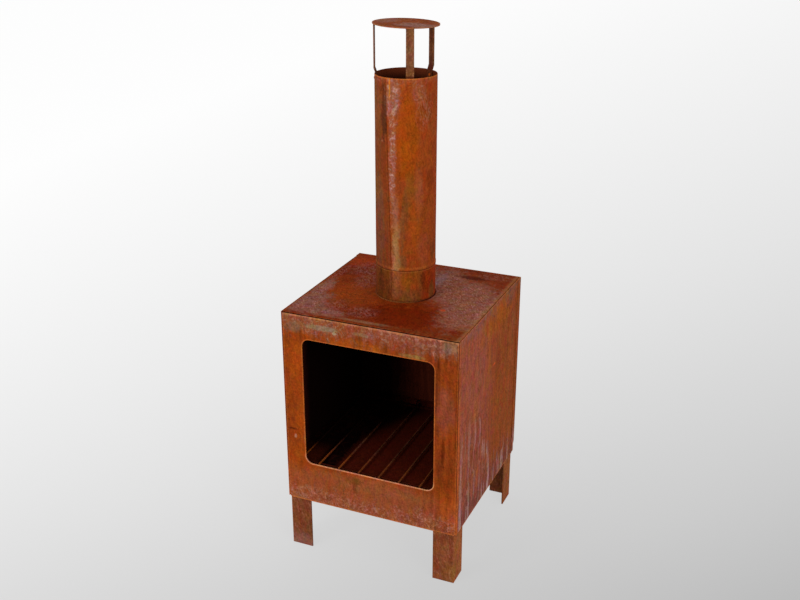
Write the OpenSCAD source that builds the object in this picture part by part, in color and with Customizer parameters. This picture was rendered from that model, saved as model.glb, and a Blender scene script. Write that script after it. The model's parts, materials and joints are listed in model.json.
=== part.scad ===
// Chiminea: a square firebox of weathering steel sheet on four angle legs,
// with a loose rod grate, a plug-in chimney pipe and a flat rain cap.
// Millimetres, +Z up, front towards -Y. The origin is on the ground,
// under the middle of the firebox.

/* [Firebox] */
// Width over the side panels
body_w = 396; // [360:1:500]
// Depth from the front face to the back face
body_d = 383; // [360:1:500]
// Height of the top plate above the ground
top_z = 567; // [540:1:700]
// Height of the front panel's lower edge
front_bottom_z = 121; // [100:1:140]
// Height of the side and back panels' lower edges
side_bottom_z = 123.5; // [100:0.5:140]
// Thickness of the front, top, side and floor sheets
sheet_t = 2; // [1.5:0.5:3]
// Thickness of the back sheet
back_t = 1.5; // [1:0.5:2]
// Outer radius of the bend between the front and the top
bend_r = 6; // [4:0.5:12]
// Radius of the front panel's two lower corners
front_corner_r = 6; // [2:0.5:15]
// Gap between the front-and-top sheet and each side panel
seam_gap = 0.6; // [0.2:0.1:1]
// Width of the back panel's flanges outside the side panels
back_flange_w = 18; // [10:1:30]

/* [Mouth] */
// Width of the mouth
mouth_w = 297; // [220:1:310]
// Height of the mouth
mouth_h = 295; // [200:1:295]
// Height of the sill above the ground
sill_z = 217; // [215:1:230]
// Sideways offset of the mouth from the middle
mouth_x = -3.5; // [-10:0.5:10]
// Radius of the mouth's corners
mouth_r = 17; // [8:1:40]

/* [Floor and legs] */
// Height of the floor plate's upper face
floor_z = 210; // [205:1:212]
// Width of each leg flange
leg_w = 48.5; // [40:0.5:60]
// Thickness of the leg angle
leg_t = 3; // [2:0.5:4]
// Distance from the body's outer face to a leg, sideways
leg_inset_x = 4.6; // [3:0.1:10]

/* [Chimney] */
// Wall of the collar and the pipe
pipe_wall = 1.5; // [1:0.5:2]
// Height of the collar's full-size part above the top plate
collar_h = 70; // [50:1:100]
// Length of the reduced end that plugs into the pipe
spigot_h = 45; // [30:1:60]
// Outer radius of the pipe
pipe_r = 63.2; // [55:0.1:65]
// Length of the pipe
pipe_h = 400; // [300:1:600]
// Sideways position of the chimney
pipe_x = -3; // [-10:1:10]
// Front-to-back position of the chimney
pipe_y = 10; // [-10:1:20]

/* [Rain cap] */
// How far the cap reaches past the pipe all round
cap_over = 3.8; // [3:0.1:20]
// Thickness of the cap
cap_t = 2; // [1:0.5:3]
// Height of the cap's middle above the pipe's rim
cap_lift = 98; // [70:1:130]
// Lean of the cap
cap_lean = 1.6; // [0:0.1:3]
// Direction in which the cap leans down, from +X towards +Y
cap_lean_dir = 23; // [0:1:360]
// Width of the strips
strip_w = 16; // [12:1:22]
// Thickness of the strips
strip_t = 2; // [1:0.5:3]
// Depth of the strips' feet inside the pipe
strip_foot = 42; // [30:1:60]

/* [Grate] */
// Diameter of the rods
rod_d = 4; // [4:0.5:6]
// Spacing of the rods
rod_pitch = 47; // [40:1:47]
// Length of the rods
rod_len = 344; // [300:1:345]
// Sideways position of the grate's middle
grate_x = -6.5; // [-12:0.5:12]

/* [Hidden] */
fine = 96;

half_w = body_w / 2;
front_y = -body_d / 2;
back_y = body_d / 2;
back_in_y = back_y - back_t;
front_in_y = front_y + sheet_t;
mouth_mid_z = sill_z + mouth_h / 2;

// diagonal cut across the lower end of a back flange
clip_drop = 27;

// chimney: radii, then levels
collar_r = pipe_r + 0.3;
collar_in_r = collar_r - pipe_wall;
pipe_in_r = pipe_r - pipe_wall;
plug_gap = 0.3;
spigot_r = pipe_in_r - plug_gap;
spigot_in_r = spigot_r - pipe_wall;
joint_z = top_z + collar_h;
shoulder_h = 4;
spigot_lead = 2;
rim_z = joint_z + pipe_h;
pipe_hem_out = 0.9;
pipe_hem_h = 5;

// rain cap: the strips' angles run from the front towards the right
strip_angles = [30, 149, -72];
strip_out_r = pipe_r + 1.3;
cap_r = pipe_r + cap_over;
strip_foot_r = sqrt(pow(pipe_in_r, 2) - pow(strip_w / 2, 2));
joggle_low = 1;
joggle_high = 10;
strip_tab = 14;
cap_z = rim_z + cap_lift - cap_t;
rivet_z = rim_z - 10;
rivet_r = 1.6;
rivet_head_r = 3.2;
rivet_head_h = 1.3;

// grate
rod_count = 8;
loop_rod = 4;
rod_bite = 0.5;
cross_z = floor_z + rod_d / 2;
rod_z = cross_z + rod_d - rod_bite;
rod_front_y = front_in_y + 5.5;
cross_over = 6;
cross_len = (rod_count - 1) * rod_pitch + 2 * cross_over;
cross_front_y = rod_front_y + 8;
cross_back_y = rod_front_y + rod_len - cross_over;
loop_d = 3.5;
loop_r = 5;
loop_leg = 8;

rust_front = [0.56, 0.24, 0.09];
rust_side = [0.50, 0.22, 0.12];
rust_top = [0.43, 0.19, 0.13];
rust_pipe = [0.52, 0.25, 0.12];
rust_dark = [0.33, 0.16, 0.10];
rust_rod = [0.45, 0.25, 0.15];

// ---- shared shapes ----

// Rectangle with round corners, centred on the origin
module round_rect(w, h, r) {
    square([w - 2 * r, h], center = true);
    square([w, h - 2 * r], center = true);
    for (sx = [-1, 1], sy = [-1, 1])
        translate([sx * (w / 2 - r), sy * (h / 2 - r)]) circle(r, $fn = fine);
}

// What a corner of radius r loses, with its point at the origin
module corner_waste(r) {
    difference() {
        translate([-1, -1]) square(r + 1);
        translate([r, r]) circle(r, $fn = fine);
    }
}

// Turns a drawing in X and Z into a slab that runs along +Y from y
module slab_from_front(y, depth) {
    translate([0, y + depth, 0]) rotate([90, 0, 0]) linear_extrude(depth) children();
}

// Turns a drawing in Y and Z into a bar that runs along +X from x
module bar_along_x(x, length) {
    translate([x, 0, 0]) rotate([90, 0, 90]) linear_extrude(length) children();
}

// ---- firebox ----

// The bent sheet's section: front, bend and top
module front_top_section() {
    bend_y = front_y + bend_r;
    bend_z = top_z - bend_r;
    translate([front_y, front_bottom_z]) square([sheet_t, bend_z - front_bottom_z]);
    translate([bend_y, top_z - sheet_t]) square([back_in_y - bend_y, sheet_t]);
    translate([bend_y, bend_z]) intersection() {
        difference() {
            circle(bend_r, $fn = fine);
            circle(bend_r - sheet_t, $fn = fine);
        }
        translate([-bend_r, 0]) square(bend_r);
    }
}

module front_top_sheet() {
    w = body_w - 2 * sheet_t - 2 * seam_gap;
    color(rust_front) difference() {
        bar_along_x(-w / 2, w) front_top_section();
        slab_from_front(front_y - 1, sheet_t + 2)
            translate([mouth_x, mouth_mid_z]) round_rect(mouth_w, mouth_h, mouth_r);
        slab_from_front(front_y - 1, sheet_t + 2) for (s = [-1, 1])
            translate([s * w / 2, front_bottom_z]) scale([-s, 1])
                corner_waste(front_corner_r);
        translate([pipe_x, pipe_y, top_z - sheet_t - 1])
            cylinder(r = spigot_in_r, h = sheet_t + 2, $fn = fine);
    }
}

module side_panel(side) {
    color(rust_side)
        translate([side > 0 ? half_w - sheet_t : -half_w, front_y, side_bottom_z])
            cube([sheet_t, back_in_y - front_y, top_z - side_bottom_z]);
}

module left_side_panel() { side_panel(-1); }

module right_side_panel() { side_panel(1); }

// A flange outside one side panel, with its lower end cut across
module back_flange() {
    bar_along_x(half_w, back_t) polygon([
        [back_y - back_flange_w, side_bottom_z],
        [back_y - back_flange_w, top_z],
        [back_y, top_z],
        [back_y, side_bottom_z + clip_drop],
    ]);
}

module back_panel() {
    color(rust_side) {
        translate([-half_w, back_in_y, side_bottom_z])
            cube([body_w, back_t, top_z - side_bottom_z]);
        back_flange();
        mirror([1, 0, 0]) back_flange();
    }
}

module floor_plate() {
    color(rust_dark) translate([sheet_t - half_w, front_in_y, floor_z - sheet_t])
        cube([body_w - 2 * sheet_t, back_in_y - front_in_y, sheet_t]);
}

// An angle with its outer corner at the origin and its flanges along +X and +Y
module angle_section() {
    root_r = leg_t;
    square([leg_w, leg_t]);
    square([leg_t, leg_w]);
    translate([leg_t, leg_t]) difference() {
        square(root_r);
        translate([root_r, root_r]) circle(root_r, $fn = fine);
    }
}

module leg(sx, sy) {
    x = sx * (half_w - leg_inset_x);
    y = sy < 0 ? front_in_y : back_in_y;
    color(rust_dark) translate([x, y, 0]) linear_extrude(floor_z - sheet_t)
        scale([-sx, -sy]) angle_section();
}

module leg_front_left() { leg(-1, -1); }

module leg_front_right() { leg(1, -1); }

module leg_back_left() { leg(-1, 1); }

module leg_back_right() { leg(1, 1); }

// ---- chimney ----

module flue_collar() {
    color(rust_pipe) translate([pipe_x, pipe_y, 0]) rotate_extrude($fn = fine)
        polygon([
            [collar_in_r, top_z],
            [collar_r, top_z],
            [collar_r, joint_z],
            [spigot_r, joint_z],
            [spigot_r, joint_z + spigot_h - spigot_lead],
            [spigot_in_r + pipe_wall / 2, joint_z + spigot_h],
            [spigot_in_r, joint_z + spigot_h],
            [spigot_in_r, joint_z - shoulder_h],
            [collar_in_r, joint_z - 2 * shoulder_h],
        ]);
}

// Turns things made on the chimney's front to one strip's direction
module at_strip(angle) {
    translate([pipe_x, pipe_y, 0]) rotate([0, 0, angle]) children();
}

module flue_pipe() {
    color(rust_pipe) difference() {
        translate([pipe_x, pipe_y, 0]) rotate_extrude($fn = fine) polygon([
            [pipe_in_r, joint_z],
            [pipe_r + pipe_hem_out, joint_z],
            [pipe_r + pipe_hem_out, joint_z + pipe_hem_h],
            [pipe_r, joint_z + pipe_hem_h + 1],
            [pipe_r, rim_z],
            [pipe_in_r, rim_z],
        ]);
        for (a = strip_angles) at_strip(a) rivet_hole();
    }
}

// Hole through the pipe wall and the strip's foot
module rivet_hole() {
    translate([0, 0, rivet_z]) rotate([90, 0, 0])
        translate([0, 0, strip_foot_r - 2 * strip_t])
            cylinder(r = rivet_r, h = 4 * strip_t + 2, $fn = fine);
}

// ---- rain cap ----

// Moves things onto the cap's underside, which leans a little
module on_cap() {
    translate([pipe_x, pipe_y, cap_z])
        rotate([0, 0, cap_lean_dir]) rotate([0, cap_lean, 0]) rotate([0, 0, -cap_lean_dir])
            children();
}

module cap_disc() {
    color(rust_pipe) on_cap() cylinder(r = cap_r, h = cap_t, $fn = fine);
}

// Side view of a strip: foot in the pipe, joggle over the rim, post and top tab.
// X is the distance out from the pipe's axis.
module strip_side_view() {
    foot = strip_foot_r;
    post = strip_out_r;
    low = rim_z + joggle_low;
    high = rim_z + joggle_high;
    tall = cap_z + cap_r * sin(cap_lean) + 1;
    polygon([
        [foot - strip_t, rim_z - strip_foot],
        [foot, rim_z - strip_foot],
        [foot, low],
        [post, high],
        [post, tall],
        [post - strip_t, tall],
        [post - strip_t, high + 0.6],
        [foot - strip_t, low + 0.6],
    ]);
}

module cap_strip(angle) {
    color(rust_pipe) {
        difference() {
            at_strip(angle) translate([strip_w / 2, 0, 0]) rotate([90, 0, -90])
                linear_extrude(strip_w) strip_side_view();
            on_cap() cylinder(r = 2 * cap_r, h = cap_r, $fn = fine);
            at_strip(angle) rivet_hole();
        }
        // tab under the cap, tucked inside the post
        intersection() {
            on_cap() translate([0, 0, -strip_t])
                cylinder(r = cap_r - 1, h = strip_t, $fn = fine);
            at_strip(angle) translate([-strip_w / 2, -strip_out_r + strip_t, cap_z - cap_r])
                cube([strip_w, strip_tab, 2 * cap_r]);
        }
    }
}

module cap_strip_front() { cap_strip(strip_angles[0]); }

module cap_strip_back() { cap_strip(strip_angles[1]); }

module cap_strip_left() { cap_strip(strip_angles[2]); }

// Shank through pipe and strip, with a flat dome outside and a button inside
module rivet() {
    inner = strip_foot_r - strip_t;
    translate([0, 0, rivet_z]) rotate([90, 0, 0]) {
        translate([0, 0, inner - 1])
            cylinder(r = rivet_head_r - 0.4, h = 1, $fn = fine);
        translate([0, 0, inner]) cylinder(r = rivet_r, h = pipe_r - inner, $fn = fine);
        difference() {
            translate([0, 0, pipe_r - 0.5])
                cylinder(r1 = rivet_head_r, r2 = rivet_head_r - 1.2,
                         h = rivet_head_h + 0.5, $fn = fine);
            rotate([-90, 0, 0]) translate([0, 0, -20])
                cylinder(r = pipe_r, h = 40, $fn = fine);
        }
    }
}

module cap_rivets() {
    color(rust_front) for (a = strip_angles) at_strip(a) rivet();
}

// ---- grate ----

function rod_x(number) = grate_x + (number - (rod_count + 1) / 2) * rod_pitch;

module grate_rod(number) {
    color(rust_rod) translate([rod_x(number), rod_front_y, rod_z]) rotate([-90, 0, 0])
        cylinder(d = rod_d, h = rod_len, $fn = fine);
}

module grate_cross(y) {
    color(rust_rod) translate([grate_x - cross_len / 2, y, cross_z]) rotate([0, 90, 0])
        cylinder(d = rod_d, h = cross_len, $fn = fine);
}

module grate_cross_front() { grate_cross(cross_front_y); }

module grate_cross_back() { grate_cross(cross_back_y); }

// Wire arch that straddles one rod, standing on the back cross rod
module grate_loop() {
    foot_z = cross_z + rod_d / 2 - rod_bite;
    color(rust_rod) translate([rod_x(loop_rod), cross_back_y, foot_z]) {
        for (s = [-1, 1]) translate([s * loop_r, 0, 0])
            cylinder(d = loop_d, h = loop_leg, $fn = fine);
        translate([0, 0, loop_leg]) rotate([90, 0, 0])
            rotate_extrude(angle = 180, $fn = fine) translate([loop_r, 0])
                circle(d = loop_d, $fn = fine);
    }
}

front_top_sheet();
left_side_panel();
right_side_panel();
back_panel();
floor_plate();
leg_front_left();
leg_front_right();
leg_back_left();
leg_back_right();
flue_collar();
flue_pipe();
cap_disc();
cap_strip_front();
cap_strip_back();
cap_strip_left();
cap_rivets();
grate_rod(1);  // grate_rod_1
grate_rod(2);  // grate_rod_2
grate_rod(3);  // grate_rod_3
grate_rod(4);  // grate_rod_4
grate_rod(5);  // grate_rod_5
grate_rod(6);  // grate_rod_6
grate_rod(7);  // grate_rod_7
grate_rod(8);  // grate_rod_8
grate_cross_front();
grate_cross_back();
grate_loop();
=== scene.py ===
# Looks of a square weathering-steel chiminea: rusted sheets, legs, flue, rain cap and grate.
# Metres, +Z up, the mouth faces -Y. Pieces are placed from the imported frame. Rust marks are
# placed in metres on their own sheet.
import json
import math

import bmesh
import bpy
from mathutils import Matrix, Vector, noise


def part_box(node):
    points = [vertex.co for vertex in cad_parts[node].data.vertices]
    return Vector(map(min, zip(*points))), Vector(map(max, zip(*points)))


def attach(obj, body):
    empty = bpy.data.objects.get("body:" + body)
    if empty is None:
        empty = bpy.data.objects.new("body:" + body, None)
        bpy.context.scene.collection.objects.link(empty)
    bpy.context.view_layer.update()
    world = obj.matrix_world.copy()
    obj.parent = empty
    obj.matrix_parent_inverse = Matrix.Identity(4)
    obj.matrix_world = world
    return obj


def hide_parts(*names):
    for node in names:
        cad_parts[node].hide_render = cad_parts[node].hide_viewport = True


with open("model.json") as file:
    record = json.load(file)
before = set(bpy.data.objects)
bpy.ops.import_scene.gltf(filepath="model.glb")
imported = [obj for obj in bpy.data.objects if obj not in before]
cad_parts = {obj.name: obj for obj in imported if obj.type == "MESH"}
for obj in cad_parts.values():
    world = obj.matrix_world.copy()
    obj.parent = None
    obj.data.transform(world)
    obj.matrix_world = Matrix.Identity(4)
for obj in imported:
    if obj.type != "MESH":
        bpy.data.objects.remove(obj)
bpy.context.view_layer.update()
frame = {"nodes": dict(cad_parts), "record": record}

MM = 0.001
NODES = frame["nodes"]

# ---- places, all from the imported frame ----

BACK_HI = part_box("back_panel")[1]
SHEET_LO, SHEET_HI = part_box("front_top_sheet")
SIDE_LO, SIDE_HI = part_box("right_side_panel")
FLOOR_LO, FLOOR_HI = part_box("floor_plate")
COLLAR_LO, COLLAR_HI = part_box("flue_collar")
PIPE_LO, PIPE_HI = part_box("flue_pipe")
OPENINGS = {o["name"]: o["box_m"] for o in frame["record"]["physics"]["openings"]}

FRONT_Y = SHEET_LO.y
TOP_Z = SHEET_HI.z
FLUE_X = (COLLAR_LO.x + COLLAR_HI.x) / 2
FLUE_Y = (COLLAR_LO.y + COLLAR_HI.y) / 2
COLLAR_R = (COLLAR_HI.x - COLLAR_LO.x) / 2
JOINT_Z = PIPE_LO.z
RIM_Z = PIPE_HI.z
PIPE_HEM_R = (PIPE_HI.x - PIPE_LO.x) / 2
HEM_SWELL = 0.9 * MM
FLUE_WALL = 1.5 * MM
PIPE_R = PIPE_HEM_R - HEM_SWELL
PIPE_IN_R = PIPE_R - FLUE_WALL

# the mouth is a little wider and taller than the opening that the frame keeps clear
MOUTH_SIDE_MARGIN = 5.0 * MM
MOUTH_END_MARGIN = 5.5 * MM
MOUTH_LO = Vector(OPENINGS["mouth"][0])
MOUTH_HI = Vector(OPENINGS["mouth"][1])
MOUTH_X = (MOUTH_LO.x + MOUTH_HI.x) / 2
MOUTH_Z = (MOUTH_LO.z + MOUTH_HI.z) / 2
MOUTH_HALF_W = (MOUTH_HI.x - MOUTH_LO.x) / 2 + MOUTH_SIDE_MARGIN
MOUTH_HALF_H = (MOUTH_HI.z - MOUTH_LO.z) / 2 + MOUTH_END_MARGIN
MOUTH_R = 17 * MM


# ---- tools for materials ----

def tone(code):
    """A colour written as six hex digits, as the linear colour that a shader takes."""
    parts = [int(code[i:i + 2], 16) / 255 for i in (0, 2, 4)]
    return [p / 12.92 if p <= 0.04045 else ((p + 0.055) / 1.055) ** 2.4 for p in parts] + [1.0]


class Value:
    """One socket of a finish. Arithmetic on values adds Math nodes to the finish."""

    def __init__(self, finish, socket):
        self.finish = finish
        self.socket = socket

    def math(self, operation, *others):
        """A Math node with this value first."""
        inputs = dict(enumerate((self, *others)))
        return self.finish.node("Math", {"operation": operation}, inputs)

    def __add__(self, other):
        return self.math("ADD", other)

    def __sub__(self, other):
        return self.math("SUBTRACT", other)

    def __mul__(self, other):
        return self.math("MULTIPLY", other)

    def __truediv__(self, other):
        return self.math("DIVIDE", other)

    def __rsub__(self, other):
        return self.finish.node("Math", {"operation": "SUBTRACT"}, {0: other, 1: self})

    def __rtruediv__(self, other):
        return self.finish.node("Math", {"operation": "DIVIDE"}, {0: other, 1: self})

    def __neg__(self):
        return self * -1.0

    __radd__ = __add__
    __rmul__ = __mul__

    def larger(self, other):
        return self.math("MAXIMUM", other)

    def smaller(self, other):
        return self.math("MINIMUM", other)

    def size(self):
        return self.math("ABSOLUTE")

    def power(self, exponent):
        return self.math("POWER", exponent)

    def rise(self, low, high):
        """0 below low, 1 above high, smooth between; low may be the larger one."""
        settings = {"interpolation_type": "SMOOTHSTEP"}
        return self.finish.node("MapRange", settings, {0: self, 1: low, 2: high, 3: 0.0, 4: 1.0})

    def line(self, middle, half_width, soft):
        """1 within half_width of middle, fading to 0 over soft."""
        return (self - middle).size().rise(half_width + soft, half_width)


class Finish:
    """A material and the few ways in which its nodes are made."""

    def __init__(self, name, slot):
        self.slot = slot
        self.material = bpy.data.materials.new(name)
        self.material.use_nodes = True
        self.tree = self.material.node_tree
        self.tree.nodes.clear()
        self.place = self.node("TexCoord", out="Object")
        parts = self.node("SeparateXYZ", {}, {0: self.place}, out=None)
        self.x, self.y, self.z = (Value(self, s) for s in parts.outputs)

    def node(self, kind, settings=None, inputs=None, out=0):
        """Adds a node: settings first, then its sockets' values or links. Gives one output."""
        made = self.tree.nodes.new("ShaderNode" + kind)
        for key, setting in (settings or {}).items():
            setattr(made, key, setting)
        for key, given in (inputs or {}).items():
            if isinstance(given, Value):
                self.tree.links.new(given.socket, made.inputs[key])
            else:
                made.inputs[key].default_value = given
        return made if out is None else Value(self, made.outputs[out])

    def scaled(self, stretch, shift=(0.0, 0.0, 0.0), place=None):
        """Coordinates stretched along X, Y and Z, then moved."""
        spread = {0: place or self.place, 1: stretch, 2: shift}
        return self.node("VectorMath", {"operation": "MULTIPLY_ADD"}, spread)

    def grain(self, stretch, detail=3.0, rough=0.55, warp=0.0, seed=0.0, place=None):
        """Noise from 0 to 1 with that many features to the metre along X, Y and Z."""
        shift = (seed * 3.1, seed * 5.7, seed * 2.3)
        inputs = {"Vector": self.scaled(stretch, shift, place), "Scale": 1.0,
                  "Detail": detail, "Roughness": rough, "Distortion": warp}
        return self.node("TexNoise", {}, inputs)

    def mix(self, mask, low, high):
        """The colour low where mask is 0 and high where it is 1."""
        return self.node("Mix", {"data_type": "RGBA"}, {0: mask, 6: low, 7: high}, out=2)

    def shade(self, colour, amount):
        """The colour made lighter or darker by a factor that changes over the surface."""
        grey = self.node("CombineXYZ", {}, {0: amount, 1: amount, 2: amount})
        return self.node("VectorMath", {"operation": "MULTIPLY"}, {0: colour, 1: grey})

    def patch(self, across, up, middle, reach, ragged, edge=0.35):
        """An uneven round patch, 1 inside. Its middle and reach have across's and up's units."""
        a = (across - middle[0]) / reach[0]
        b = (up - middle[1]) / reach[1]
        distance = (a * a + b * b).power(0.5)
        return (distance + (ragged - 0.5) * 2.6).rise(1.0 + edge, 1.0 - edge)

    def close(self, colour, rough, height, depth):
        """Joins the colour, roughness and relief to the surface. Depth is in metres."""
        bump = self.node("Bump", {}, {"Strength": 1.0, "Distance": depth, "Height": height},
                         out="Normal")
        surface = {"Base Color": colour, "Roughness": rough, "Normal": bump,
                   "Specular IOR Level": MATT}
        shader = self.node("BsdfPrincipled", {}, surface)
        self.node("OutputMaterial", {}, {0: shader}, out=None)
        return self

    def dress(self, *pieces):
        """Puts the material on pieces."""
        for piece in pieces:
            piece.data.materials.clear()
            piece.data.materials.append(self.material)


# ---- rust colours ----

ORANGE = tone("8e3c0c")
WARM = tone("80340e")
BROWN = tone("64290e")
RIM = tone("b4602a")
# near black: soot, and inside the firebox also painted shade
SOOT_AND_SHADE = tone("0d0302")
EMBER = tone("2c0b05")
FLOOR_RED = "421207"

# every surface is dull: this is the specular level of all of them
MATT = 0.015

# how deep the rust's relief is, in metres
SHEET_RELIEF = 0.9 * MM
SMOOTH_RELIEF = 0.8 * MM
FINE_RELIEF = 0.5 * MM
ROD_RELIEF = 0.4 * MM

# within a 2 mm sheet, the depths between which its outer finish turns into its inner one
SKIN = 0.8 * MM
SKIN_END = 1.4 * MM


# ---- shared grain, marks and films ----

def sheet_grains(f, seed=0.0):
    """The blotches, streaks, strokes and specks that every sheet shares, each from 0 to 1."""
    slant = f.node("CombineXYZ", {}, {0: f.x + f.y * 0.7 + f.z * 0.3, 1: f.y - f.x * 0.7, 2: f.z})
    hue = {"Vector": f.scaled((55, 55, 38), (seed * 1.7, seed * 4.1, seed * 2.9)), "Scale": 1.0,
           "Detail": 4.0, "Roughness": 0.62, "Distortion": 0.8}
    mottle = f.grain((48, 48, 30), 5.0, 0.66, 0.7, seed + 1)
    stroke = f.grain((230, 75, 75), 3.0, 0.6, 1.2, seed + 5, slant)
    return {
        "cloud": f.grain((9, 9, 7), 3.0, 0.55, 0.8, seed),
        "mottle": mottle,
        "streak": f.grain((110, 110, 9), 4.0, 0.62, 0.3, seed + 2),
        "stroke": stroke,
        "rag": mottle * 0.55 + stroke * 0.45,
        "swirl": f.grain((64, 64, 64), 4.0, 0.62, 2.4, seed + 6),
        "speck": f.grain((230, 230, 230), 4.0, 0.7, 0.0, seed + 3),
        "hue": f.node("TexNoise", {}, hue, out="Color"),
    }


def rust_ground(f, g, light, middle, dark):
    """Three rust colours worked into each other by the shared grain."""
    colour = f.mix(g["cloud"].rise(0.36, 0.64), middle, light)
    colour = f.mix(g["mottle"].rise(0.48, 0.66) * 0.6, colour, dark)
    colour = f.mix(g["mottle"].rise(0.44, 0.30) * 0.5, colour, light)
    return f.mix(g["streak"].rise(0.52, 0.66) * 0.4, colour, dark)


HUE_DRIFT = Vector((0.7, 1.1, 1.7))


def grained(f, g, colour, depth=1.0):
    """Small drifts of hue and a little grain, which keep the colour's mean."""
    swing = HUE_DRIFT * depth
    steady = Vector((1.0, 1.0, 1.0)) - swing / 2
    drift = f.node("VectorMath", {"operation": "MULTIPLY_ADD"}, {0: g["hue"], 1: swing, 2: steady})
    drift = f.node("VectorMath", {"operation": "MAXIMUM"}, {0: drift, 1: (0.35, 0.35, 0.35)})
    colour = f.node("VectorMath", {"operation": "MULTIPLY"}, {0: colour, 1: drift})
    grain = (g["speck"] - 0.5) * 1.5 + (g["mottle"] - 0.5) * 0.9 + (g["stroke"] - 0.5) * 1.0
    grain = grain + (g["streak"] - 0.5) * 0.6
    return f.shade(colour, (grain * depth + 1.0).larger(0.4))


def ragged_edge(g, amount):
    """A distance that wanders in and out, for borders that aren't straight."""
    return (g["mottle"] - 0.5) * amount + (g["stroke"] - 0.5) * (amount * 0.5)


# ---- the firebox's finishes ----

def outward_distance(across, up, middle, half, radius):
    """Distance from a rectangle with round corners, negative inside it."""
    a = (across - middle[0]).size() - (half[0] - radius)
    b = (up - middle[1]).size() - (half[1] - radius)
    outside = (a.larger(0.0).power(2.0) + b.larger(0.0).power(2.0)).power(0.5)
    inside = a.larger(b).smaller(0.0)
    return outside + inside - radius


def marks(f, colour, across, up, ragged, rows):
    """Uneven marks. A row is (across, up, half width, half height, strength, tone)."""
    for along, high, wide, tall, strength, code in rows:
        mark = f.patch(across, up, (along, high), (wide, tall), ragged)
        colour = f.mix(mark * strength, colour, tone(code))
    return colour


def patches(f, across, up, ragged, edge, rows):
    """Uneven patches joined into one mask. A row is (across, up, half width, half height)."""
    joined = None
    for along, high, wide, tall in rows:
        area = f.patch(across, up, (along, high), (wide, tall), ragged, edge)
        joined = area if joined is None else joined.larger(area)
    return joined


def film_over(f, g, colour, film, base, strokes):
    """A thin pale film, with the swirls that rain has left in it."""
    colour = f.mix(film * (g["swirl"].rise(0.36, 0.52) * 0.45 + 0.35), colour, tone(base))
    return f.mix(film * g["swirl"].rise(0.50, 0.66) * 0.65, colour, tone(strokes))


def front_face(f, g, rim):
    """Front: orange-brown, purplish near the bend and the foot, rubbed bright at its edges, with
    painted highlights round the mouth and on its sill.
    """
    left = SHEET_LO.x
    right = SHEET_HI.x
    foot = SHEET_LO.z
    across = f.x - left
    up = f.z - foot
    down = TOP_Z - f.z
    from_side = (right - f.x).smaller(across)
    rag = g["rag"]

    colour = rust_ground(f, g, ORANGE, WARM, BROWN)
    shadow_side = (f.x + ragged_edge(g, 0.10)).rise(0.06, 0.15)
    colour = f.mix(shadow_side * 0.8, colour, tone("72300f"))
    low = (up + ragged_edge(g, 0.06)).rise(0.100, 0.060)
    colour = f.mix(low * 0.60, colour, tone("86462a"))
    colour = marks(f, colour, across, up, rag, (
        (0.203, 0.074, 0.125, 0.020, 0.45, "844c2e"), (0.030, 0.330, 0.020, 0.060, 0.5, "92400d"),
        (0.040, 0.200, 0.016, 0.050, 0.5, "94420c"), (0.372, 0.060, 0.028, 0.050, 0.5, "94400f"),
        (0.175, 0.395, 0.060, 0.016, 0.6, "92480e"), (0.362, 0.290, 0.022, 0.050, 0.40, "804534")))

    # purplish film below the bend, thickest at the left, and in wisps above the foot
    hang = (down + ragged_edge(g, 0.12)).rise(0.052, 0.020)
    band = hang * (0.75 - (across - 0.16).size().rise(0.05, 0.0) * 0.25)
    colour = film_over(f, g, colour, band, "7e4f3c", "9c7464")
    wisp = (up + ragged_edge(g, 0.10)).rise(0.050, 0.018) * g["swirl"].rise(0.34, 0.54)
    colour = film_over(f, g, colour, wisp * 0.80, "8c5038", "a4705c")

    # grey-green lime marks, then dark runs and stains
    colour = marks(f, colour, across, down, rag, (
        (0.026, 0.030, 0.020, 0.013, 0.50, "6e5844"), (0.093, 0.023, 0.034, 0.006, 0.60, "85755a"),
        (0.120, 0.030, 0.005, 0.003, 0.60, "a8937a"), (0.178, 0.022, 0.020, 0.004, 0.35, "8a7652"),
        (0.372, 0.018, 0.014, 0.012, 0.40, "7c6c54"), (0.290, 0.049, 0.028, 0.004, 0.50, "8a6a38")))
    colour = marks(f, colour, across, up, rag, (
        (0.155, 0.077, 0.022, 0.011, 0.55, "643614"), (0.160, 0.070, 0.006, 0.020, 0.50, "5a2e0e"),
        (0.361, 0.190, 0.004, 0.030, 0.70, "561f06"), (0.352, 0.150, 0.004, 0.030, 0.40, "5c240c"),
        (0.345, 0.330, 0.004, 0.045, 0.45, "5c240c"), (0.010, 0.395, 0.006, 0.030, 0.45, "5c2c10"),
        (0.020, 0.157, 0.003, 0.005, 0.50, "a87e6c"), (0.050, 0.160, 0.010, 0.022, 0.35, "8f6450")))
    scratch = f.patch(across, up, (0.013, 0.174), (0.013, 0.0022), rag, 0.5)
    colour = f.mix(scratch * 0.7, colour, tone("3c1306"))

    # upright hair lines, down the right-hand side and just above the mouth
    combed = across.rise(0.31, 0.35) + down.line(0.045, 0.012, 0.01) * 0.8
    colour = f.shade(colour, (g["streak"] - 0.5) * 1.4 * combed + 1.0)

    # rubbed edges; round the mouth the band is also a painted highlight on the lit cut edge, and the
    # pale line on the sill is a painted highlight
    rubbed_and_lit_edges = rim.rise(0.0030, 0.0006) * 0.8 + from_side.rise(0.0030, 0.0010) * 0.45
    rubbed_and_lit_edges = rubbed_and_lit_edges + (up + ragged_edge(g, 0.006)).rise(0.0045, 0.0012) * 0.7
    colour = f.mix(rubbed_and_lit_edges.smaller(1.0) * 0.8, colour, RIM)
    sill_highlight = rim.rise(0.0026, 0.0004) * up.rise(0.125, 0.105)
    return f.mix(sill_highlight * 0.7, colour, tone("c98a66")), band.larger(wisp)


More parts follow.
